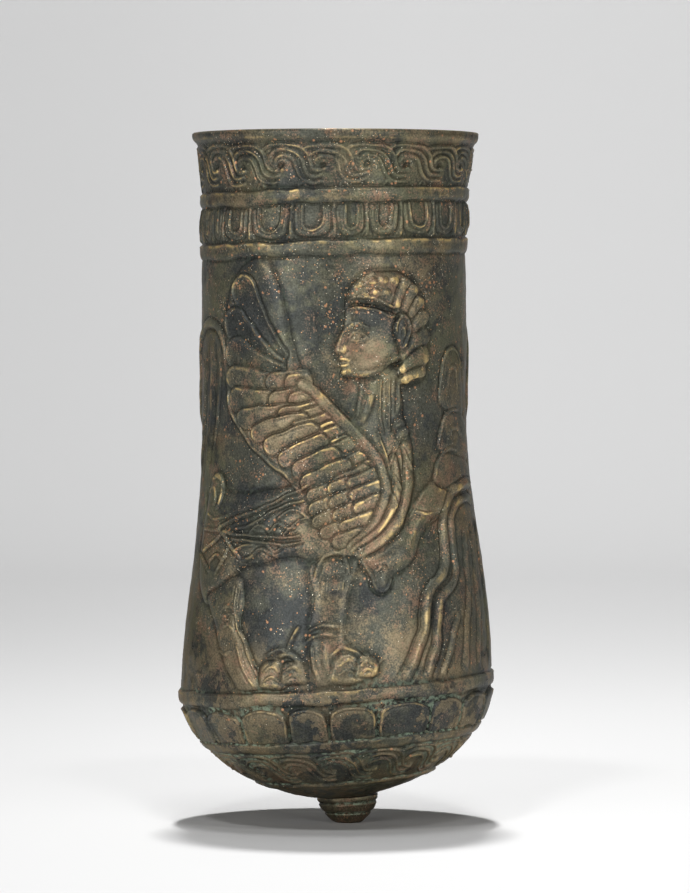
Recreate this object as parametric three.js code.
// Bronze situla: a slim ceremonial beaker raised from one sheet, with a small cast knob for a foot.
// Units are millimetres, +Z is up. The origin is on the vessel's axis, level with the knob's flat tip.
// Angle 0 faces the viewer (-Y) and grows towards +X.
import * as THREE from 'three';

// Overall shape
const overallHeight = 165;
const rimRadius = 34.2;
const waistRadius = 31.7;
const bellyRadius = 37.1;
const bellyHeight = 32;
const flareHeight = 68;
const flareFullness = 0.9;
const bowlFloorHeight = 6.2;
const bowlFullness = 1.75;

// The neck spreads a little towards the mouth, and turns out at the lip
const mouthSpread = 1.0;
const mouthSpreadHeight = 13.5;
const lipHeight = 4.0;

// The sheet: hammered thinner up the wall than in the floor
const wallThickness = 1.2;
const floorThickness = 1.8;

// Plain ribs that part the rows of ornament, by the place of their middles.
// Those of the bowl are measured along the sheet.
const ribWidth = 3.8;
const ribRelief = 0.42;
const upperRibBelowRim = 15.6;
const lowerRibBelowRim = 27.7;
const groundRibAboveBelly = 0.75;
const bowlRibBelowBelly = 11.85;
const knobRibBelowBelly = 28.0;

// Rows of tongues: hanging between the two upper ribs, standing under the ground rib
const hangingTongues = 22;
const standingTongues = 19;
const tongueRelief = 0.42;
const tongueGap = 0.75;
const tongueRowSwell = 0.5;

// Rows of punched eyes: dimples under the rim, bosses round the bowl
const dimples = 20;
const dimplesBelowRim = 7.8;
const dimpleDepth = 0.7;
const bosses = 18;
const bossesBelowBelly = 20.7;
const bossRelief = 0.45;
const eyeRadius = 1.6;

// Foot knob and the shank that holds it
const knobRadius = 7.3;
const knobTipRadius = 3.1;
const knobFullness = 0.8;
const mouldingDepth = 0.45;
const lowerMouldingShare = 0.4;
const upperMouldingShare = 0.78;
const shankRadius = 2.4;
const shankHeadRadius = 4.6;
const shankHeadHeight = 1.5;
const seatClearance = 0.3;

// How far hand work has drawn the vessel off true
const groundSlope = 0.063;
const neckSlope = 0.03;
const knobDrift = 2.6;
const neckDrift = -0.7;

// The frieze: a winged lion with a human head, bossed from inside, that strides round each half of the wall.
// Outlines and paths are in degrees from the middle of its half, and in shares of the frieze's height.
const friezeRepeats = 2;
const padShoulder = 3.4;
const padFoot = 1.0;
const bodyRelief = 0.9;
const body = [
  [-10, 0.496], [-31, 0.462], [-51, 0.463], [-58, 0.506], [-64, 0.49], [-70, 0.4], [-70, 0.29], [-60, 0.202],
  [-51, 0.212], [-42, 0.275], [-18, 0.311], [3, 0.284], [14, 0.32], [22, 0.38], [22, 0.46], [12, 0.5],
];
const chestAndNeck = [
  [11, 0.71], [9, 0.63], [16, 0.53], [20, 0.45], [17, 0.37], [10, 0.315], [23, 0.34], [31, 0.4], [34.5, 0.48],
  [33.6, 0.56], [30, 0.63], [29, 0.74],
];
const wingRelief = 0.9;
const wing = [
  [-13, 0.72], [-24, 0.765], [-48, 0.815], [-52, 0.75], [-50, 0.66], [-40, 0.595], [-25, 0.525], [-13, 0.46],
  [-9, 0.39], [-3, 0.34], [6, 0.32], [17, 0.37], [21, 0.45], [16, 0.54], [5, 0.61], [-8, 0.69],
];
const upperFeatherWidth = 6.5;
const upperFeathers = [[[-15, 0.76], [-28.5, 0.96]], [[-24, 0.78], [-43, 0.93]]];
const headRelief = 1.35;
const head = [
  [4, 0.88], [3.5, 0.82], [2, 0.77], [3.5, 0.72], [12, 0.708], [23, 0.725], [30, 0.71], [39, 0.71], [42, 0.78],
  [40.5, 0.87], [34, 0.945], [20, 0.96], [9, 0.935],
];
const legRelief = 0.7;
const legWidth = 8;
const legs = [[[-1.5, 0.29], [-3.5, 0.12]], [[-52, 0.23], [-46, 0.15], [-33, 0.03]]];
const pawWidth = 6;
const paws = [[[-1, 0.05], [11, 0.045]], [[-25, 0.045], [-15, 0.045]]];
const raisedLegRelief = 1.05;
const raisedLegWidth = 7;
const raisedLeg = [[16.5, 0.26], [27, 0.32], [40, 0.415], [60, 0.515]];

// The creature's arched tail, and the long folds and round lobes before it
const foldRelief = 0.6;
const foldWidth = 3.6;
const folds = [
  [[-93, 0.61], [-89, 0.75], [-80, 0.84], [-67, 0.85], [-56, 0.81], [-52, 0.7]],
  [[74, 0.455], [59, 0.442], [51, 0.39], [48.6, 0.3], [38, 0.21], [34.5, 0.12], [26, 0.02]],
  [[76, 0.415], [58, 0.405], [54, 0.33], [53, 0.24], [43, 0.18], [40, 0.09], [36, 0.02]],
  [[47, 0.47], [53, 0.525], [60, 0.54], [72, 0.515]],
  [[51, 0.54], [54, 0.61], [60, 0.632], [72, 0.605]],
  [[52, 0.69], [56, 0.765], [62, 0.775], [70, 0.7]],
];

// Fineness of the faceted surfaces
const lipColumns = 60;
const columnsPerTongue = 4;
const columnsPerEye = 4;
const friezeColumns = 96;
const friezeRows = 27;
const tongueRows = 4;
const eyeRowSpacing = 2.1;
const ribBackShare = 0.56;
const floorColumns = 36;
const insideColumns = 40;
const knobColumns = 32;

const sheetBronze = new THREE.MeshStandardMaterial({ color: 0x4a4234, roughness: 0.5, metalness: 0.85 });
const castBronze = new THREE.MeshStandardMaterial({ color: 0x3d3a2c, roughness: 0.55, metalness: 0.8 });

const holeRadius = shankRadius + seatClearance;
const bowlDepth = bellyHeight - bowlFloorHeight;
const waistHeight = bellyHeight + flareHeight;
const rimEnd = overallHeight - wallThickness / 2;

// How far a value has got from low to high, from 0 to 1
const between = (value, low, high) => Math.min(1, Math.max(0, (value - low) / (high - low)));

// Rounded bead of height 1, zero beyond half a width either side of its middle
function bead(offset, width) {
  const share = Math.abs(offset) / (width / 2);
  return share < 1 ? Math.cos(Math.PI / 2 * share) : 0;
}

// Height of the round bowl's outer face at a radius
const bowlHeight = (radius) => bellyHeight - bowlDepth * (1 - (radius / bellyRadius) ** 2) ** (1 / bowlFullness);

// Outer radius of the plain vessel at a height: round bowl, flared belly, straight neck and turned-out lip
function vesselRadius(z) {
  if (z < bellyHeight) {
    return bellyRadius * Math.sqrt(1 - between(bellyHeight - z, 0, bowlDepth) ** bowlFullness);
  }
  const climb = between(z, bellyHeight, waistHeight) ** flareFullness;
  const flare = (bellyRadius - waistRadius) * Math.cos(Math.PI / 2 * climb) ** 2;
  const lipStart = overallHeight - lipHeight;
  const spread = mouthSpread * between(z, overallHeight - mouthSpreadHeight, lipStart);
  const rowBottom = overallHeight - lowerRibBelowRim + ribWidth / 2;
  const rowTop = overallHeight - upperRibBelowRim - ribWidth / 2;
  const swell = tongueRowSwell * Math.sin(Math.PI * between(z, rowBottom, rowTop));
  const turnedOut = rimRadius - waistRadius - mouthSpread;
  const lip = turnedOut * (1 - Math.cos(Math.PI / 2 * between(z, lipStart, overallHeight)));
  return waistRadius + flare + swell + spread + lip;
}

// The bowl's outer face from the belly down: how far along the sheet each point is
const bowlCurve = [];
for (let i = 0, along = 0; i <= 200; i++) {
  const turn = Math.PI / 2 * i / 200;
  const z = bellyHeight - bowlDepth * Math.sin(turn);
  const r = vesselRadius(z);
  if (i > 0) {
    along += Math.hypot(r - bowlCurve[i - 1].r, z - bowlCurve[i - 1].z);
  }
  bowlCurve.push({ along, r, z });
}

// Point of the plain outer face at a place above the belly. A place below it, so less than 0, is measured
// along the sheet.
function facePoint(place) {
  if (place >= 0) {
    return { r: vesselRadius(bellyHeight + place), z: bellyHeight + place };
  }
  const next = Math.max(1, bowlCurve.findIndex(({ along }) => along > -place));
  const [a, b] = [bowlCurve[next - 1], bowlCurve[next]];
  const share = between(-place, a.along, b.along);
  return { r: a.r + (b.r - a.r) * share, z: a.z + (b.z - a.z) * share };
}

// Point of the outer face raised by some relief, square to the face
function raisedPoint(place, relief) {
  const step = 0.2;
  const [below, above] = [facePoint(place - step), facePoint(place + step)];
  const length = Math.hypot(above.r - below.r, above.z - below.z);
  const { r, z } = facePoint(place);
  return { r: r + relief * (above.z - below.z) / length, z: z - relief * (above.r - below.r) / length };
}

// Hand work: ribs run uphill to +X, and the axis wanders a little. The foot and the rim stay level.
function offTrue(point) {
  const { x, z } = point;
  const drift = z < bellyHeight
    ? knobDrift * (1 - between(z, bowlFloorHeight, bellyHeight))
    : neckDrift * between(z, bellyHeight + flareHeight / 2, waistHeight);
  const climb = between(z, bellyHeight, overallHeight - lowerRibBelowRim);
  const slope = groundSlope + (neckSlope - groundSlope) * climb;
  const footEase = between(z, 0, bowlFloorHeight);
  const rimEase = 1 - between(z, overallHeight - upperRibBelowRim, overallHeight - lipHeight);
  point.x = x + drift;
  point.z = z + x * slope * footEase * rimEase;
  return point;
}

// Middles of the ribs and rows of eyes, above the belly
const upperRib = overallHeight - upperRibBelowRim - bellyHeight;
const lowerRib = overallHeight - lowerRibBelowRim - bellyHeight;
const groundRib = groundRibAboveBelly;
const bowlRib = -bowlRibBelowBelly;
const knobRib = -knobRibBelowBelly;
const dimpleMiddle = overallHeight - dimplesBelowRim - bellyHeight;
const bossMiddle = -bossesBelowBelly;

const pads = [
  { relief: bodyRelief, outline: body },
  { relief: bodyRelief, outline: chestAndNeck },
  { relief: wingRelief, outline: wing },
  { relief: headRelief, outline: head },
];
const rolls = [
  ...upperFeathers.map((path) => ({ relief: wingRelief, width: upperFeatherWidth, path })),
  ...legs.map((path) => ({ relief: legRelief, width: legWidth, path })),
  ...paws.map((path) => ({ relief: legRelief, width: pawWidth, path })),
  { relief: raisedLegRelief, width: raisedLegWidth, path: raisedLeg },
  ...folds.map((path) => ({ relief: foldRelief, width: foldWidth, path })),
];

// How far a place on the wall, in mm, lies from a chain of points, and whether it's inside their outline
function nearChain(across, up, chain, closed) {
  let distance = Infinity;
  let inside = false;
  for (let i = closed ? 0 : 1; i < chain.length; i++) {
    const [ax, ay] = chain[(i + chain.length - 1) % chain.length];
    const [bx, by] = chain[i];
    const share = between((across - ax) * (bx - ax) + (up - ay) * (by - ay), 0, (bx - ax) ** 2 + (by - ay) ** 2);
    distance = Math.min(distance, Math.hypot(across - ax - share * (bx - ax), up - ay - share * (by - ay)));
    if ((ay > up) !== (by > up) && across < (bx - ax) * (up - ay) / (by - ay) + ax) {
      inside = !inside;
    }
  }
  return { distance, inside };
}

// Relief of the frieze at an angle in degrees and a place above the belly
function friezeRelief(degrees, place) {
  const [foot, top] = [groundRib + ribWidth / 2, lowerRib - ribWidth / 2];
  const mmPerDegree = 2 * Math.PI * waistRadius / 360;
  const inMm = ([angle, share]) => [angle * mmPerDegree, foot + share * (top - foot)];
  const period = 360 / friezeRepeats;
  const nearest = degrees - period * Math.round(degrees / period);
  let relief = 0;
  for (const turn of [-period, 0, period]) {
    const across = (nearest + turn) * mmPerDegree;
    for (const { relief: height, outline } of pads) {
      const { distance, inside } = nearChain(across, place, outline.map(inMm), true);
      const rise = between(inside ? distance : -distance, -padFoot, padShoulder);
      relief = Math.max(relief, height * Math.sin(Math.PI / 2 * rise));
    }
    for (const { relief: height, width, path } of rolls) {
      const { distance } = nearChain(across, place, path.map(inMm), false);
      relief = Math.max(relief, height * bead(distance, width));
    }
  }
  return relief;
}

// Relief of a row of tongues, which are square at their base and round at their tip
function tongueRow(degrees, place, count, base, tip) {
  const half = Math.PI * facePoint(place).r / count;
  const across = ((degrees * count / 360) % 1 - 0.5) * 2 * half;
  const beyond = Math.max(0, half - tongueGap - (tip - place) * Math.sign(tip - base));
  const reach = Math.hypot(across, beyond);
  return tongueRelief * between(half - tongueGap - reach, -tongueGap, tongueGap);
}

// Relief of a row of punched eyes
function eyeRow(degrees, place, count, middle, height) {
  const spacing = 2 * Math.PI * facePoint(place).r / count;
  const across = ((degrees * count / 360) % 1 - 0.5) * spacing;
  return height * bead(Math.hypot(across, place - middle), 2 * eyeRadius);
}

// Four rings of points that make a flat-backed rib
function ribRings(middle, columns) {
  return [[-1, 0], [-ribBackShare, ribRelief], [ribBackShare, ribRelief], [1, 0]].map(([share, height]) => ({
    place: middle + share * ribWidth / 2,
    columns,
    relief: () => height,
  }));
}

// Three rings of points across a row of eyes
function eyeRings(middle, count, height) {
  return [-eyeRowSpacing, 0, eyeRowSpacing].map((step) => ({
    place: middle + step,
    columns: count * columnsPerEye,
    relief: (degrees) => eyeRow(degrees, middle + step, count, middle, height),
  }));
}

// Rings of an ornamented zone between two places, both left out
function zoneRings(from, to, count, columns, relief) {
  return Array.from({ length: count }, (_, i) => {
    const place = from + (to - from) * (i + 1) / (count + 1);
    return { place, columns, relief: (degrees) => relief(degrees, place) };
  });
}

// The outer face as rings of points, from the shank hole up to the lip
function outerRings() {
  const half = ribWidth / 2;
  const lipSteps = 3;
  const plain = () => 0;
  const bowlPlace = (radius) => -bowlCurve.find(({ r }) => r < radius).along;
  const lipPlace = overallHeight - lipHeight - bellyHeight;
  const tongues = (base, tip, count) => zoneRings(base, tip, tongueRows, count * columnsPerTongue,
    (degrees, place) => tongueRow(degrees, place, count, base, tip));
  const lip = Array.from({ length: lipSteps + 1 }, (_, i) => ({
    place: lipPlace + (rimEnd - bellyHeight - lipPlace) * i / lipSteps,
    columns: lipColumns,
    relief: plain,
  }));
  return [
    { place: bowlPlace(holeRadius), columns: floorColumns, relief: plain },
    { place: bowlPlace(knobRadius + 1), columns: floorColumns, relief: plain },
    ...ribRings(knobRib, floorColumns),
    ...eyeRings(bossMiddle, bosses, bossRelief),
    ...ribRings(bowlRib, bosses * columnsPerEye),
    ...tongues(bowlRib + half, groundRib - half, standingTongues),
    ...ribRings(groundRib, standingTongues * columnsPerTongue),
    ...zoneRings(groundRib + half, lowerRib - half, friezeRows, friezeColumns, friezeRelief),
    ...ribRings(lowerRib, hangingTongues * columnsPerTongue),
    ...tongues(upperRib - half, lowerRib + half, hangingTongues).reverse(),
    ...ribRings(upperRib, dimples * columnsPerEye),
    ...eyeRings(dimpleMiddle, dimples, -dimpleDepth),
    ...lip,
  ].map(({ place, columns, relief }) => ({ columns, at: (degrees) => raisedPoint(place, relief(degrees)) }));
}

// Rounded edge that joins the outer face to the inner one
function lipRings() {
  const half = wallThickness / 2;
  const lipMiddle = vesselRadius(rimEnd) - half;
  return [45, 90, 135].map((degrees) => {
    const turn = THREE.MathUtils.degToRad(degrees);
    const edge = { r: lipMiddle + half * Math.cos(turn), z: rimEnd + half * Math.sin(turn) };
    return { columns: lipColumns, at: () => edge };
  });
}

// Inner face from the lip down to the shank hole
function innerRings() {
  const wallSteps = 7;
  const bowlSteps = 6;
  const lipStart = overallHeight - lipHeight;
  const points = [{ r: vesselRadius(rimEnd) - wallThickness, z: rimEnd }];
  for (let i = 0; i <= wallSteps; i++) {
    const z = lipStart + (bellyHeight - lipStart) * i / wallSteps;
    points.push({ r: vesselRadius(z) - wallThickness, z });
  }
  for (let i = 1; i <= bowlSteps; i++) {
    const depth = Math.sin(Math.PI / 2 * i / bowlSteps);
    const r = Math.max(holeRadius, (bellyRadius - wallThickness) * Math.sqrt(1 - depth ** bowlFullness));
    points.push({ r, z: bellyHeight - (bowlDepth - floorThickness) * depth });
  }
  return points.map((point) => ({ columns: insideColumns, at: () => point }));
}

// Faces between two rings, which may have different numbers of points
function joinRings(a, b, faces) {
  let [i, j] = [0, 0];
  while (i < a.columns || j < b.columns) {
    const [here, there] = [a.start + i % a.columns, b.start + j % b.columns];
    if (j === b.columns || (i < a.columns && (i + 1) / a.columns <= (j + 1) / b.columns)) {
      i++;
      faces.push(here, a.start + i % a.columns, there);
    } else {
      j++;
      faces.push(here, b.start + j % b.columns, there);
    }
  }
}

// The raised sheet: a closed skin of rings over the outer face, round the lip and down inside
function vesselBody() {
  const rings = [...outerRings(), ...lipRings(), ...innerRings()];
  const positions = [];
  for (const ring of rings) {
    ring.start = positions.length / 3;
    for (let column = 0; column < ring.columns; column++) {
      const degrees = 360 * column / ring.columns;
      const angle = THREE.MathUtils.degToRad(degrees);
      const { r, z } = ring.at(degrees);
      const point = offTrue(new THREE.Vector3(r * Math.sin(angle), -r * Math.cos(angle), z));
      positions.push(point.x, point.y, point.z);
    }
  }
  const faces = [];
  rings.forEach((ring, i) => joinRings(ring, rings[(i + 1) % rings.length], faces));
  const geometry = new THREE.BufferGeometry();
  geometry.setAttribute('position', new THREE.Float32BufferAttribute(positions, 3));
  geometry.setIndex(faces);
  geometry.computeVertexNormals();
  return geometry;
}

// Cast knob with two turned mouldings, its shank up through the floor, and the head hammered over inside
function footKnob() {
  const mouldingWidth = 0.16;
  const roundSteps = 14;
  const profile = [new THREE.Vector2(0, 0), new THREE.Vector2(knobTipRadius, 0)];
  const seat = (radius) => bowlHeight(radius) - seatClearance;
  for (let i = 1; i <= roundSteps; i++) {
    const share = i / roundSteps;
    const round = knobTipRadius + (knobRadius - knobTipRadius) * Math.sin(Math.PI / 2 * share) ** knobFullness;
    const lowerMoulding = bead(share - lowerMouldingShare, mouldingWidth);
    const upperMoulding = bead(share - upperMouldingShare, mouldingWidth);
    const cut = mouldingDepth * Math.max(lowerMoulding, upperMoulding);
    profile.push(new THREE.Vector2(round - cut, seat(knobRadius) * share));
  }
  for (const radius of [(knobRadius + shankRadius) / 2, shankRadius]) {
    profile.push(new THREE.Vector2(radius, seat(radius)));
  }
  const headSeat = bowlFloorHeight + floorThickness + seatClearance;
  profile.push(new THREE.Vector2(shankRadius, headSeat));
  for (const degrees of [0, 25, 50, 75, 90]) {
    const turn = THREE.MathUtils.degToRad(degrees);
    const rise = headSeat + seatClearance + shankHeadHeight * Math.sin(turn);
    profile.push(new THREE.Vector2(degrees === 90 ? 0 : shankHeadRadius * Math.cos(turn), rise));
  }
  const geometry = new THREE.LatheGeometry(profile, knobColumns);
  geometry.rotateX(Math.PI / 2);
  const places = geometry.getAttribute('position');
  const point = new THREE.Vector3();
  for (let i = 0; i < places.count; i++) {
    offTrue(point.fromBufferAttribute(places, i));
    places.setXYZ(i, point.x, point.y, point.z);
  }
  geometry.computeVertexNormals();
  return geometry;
}

const situla = new THREE.Group();
for (const [name, geometry, material] of [
  ['vessel_body', vesselBody(), sheetBronze],
  ['foot_knob', footKnob(), castBronze],
]) {
  const mesh = new THREE.Mesh(geometry, material);
  mesh.name = name;
  situla.add(mesh);
}

export default situla;
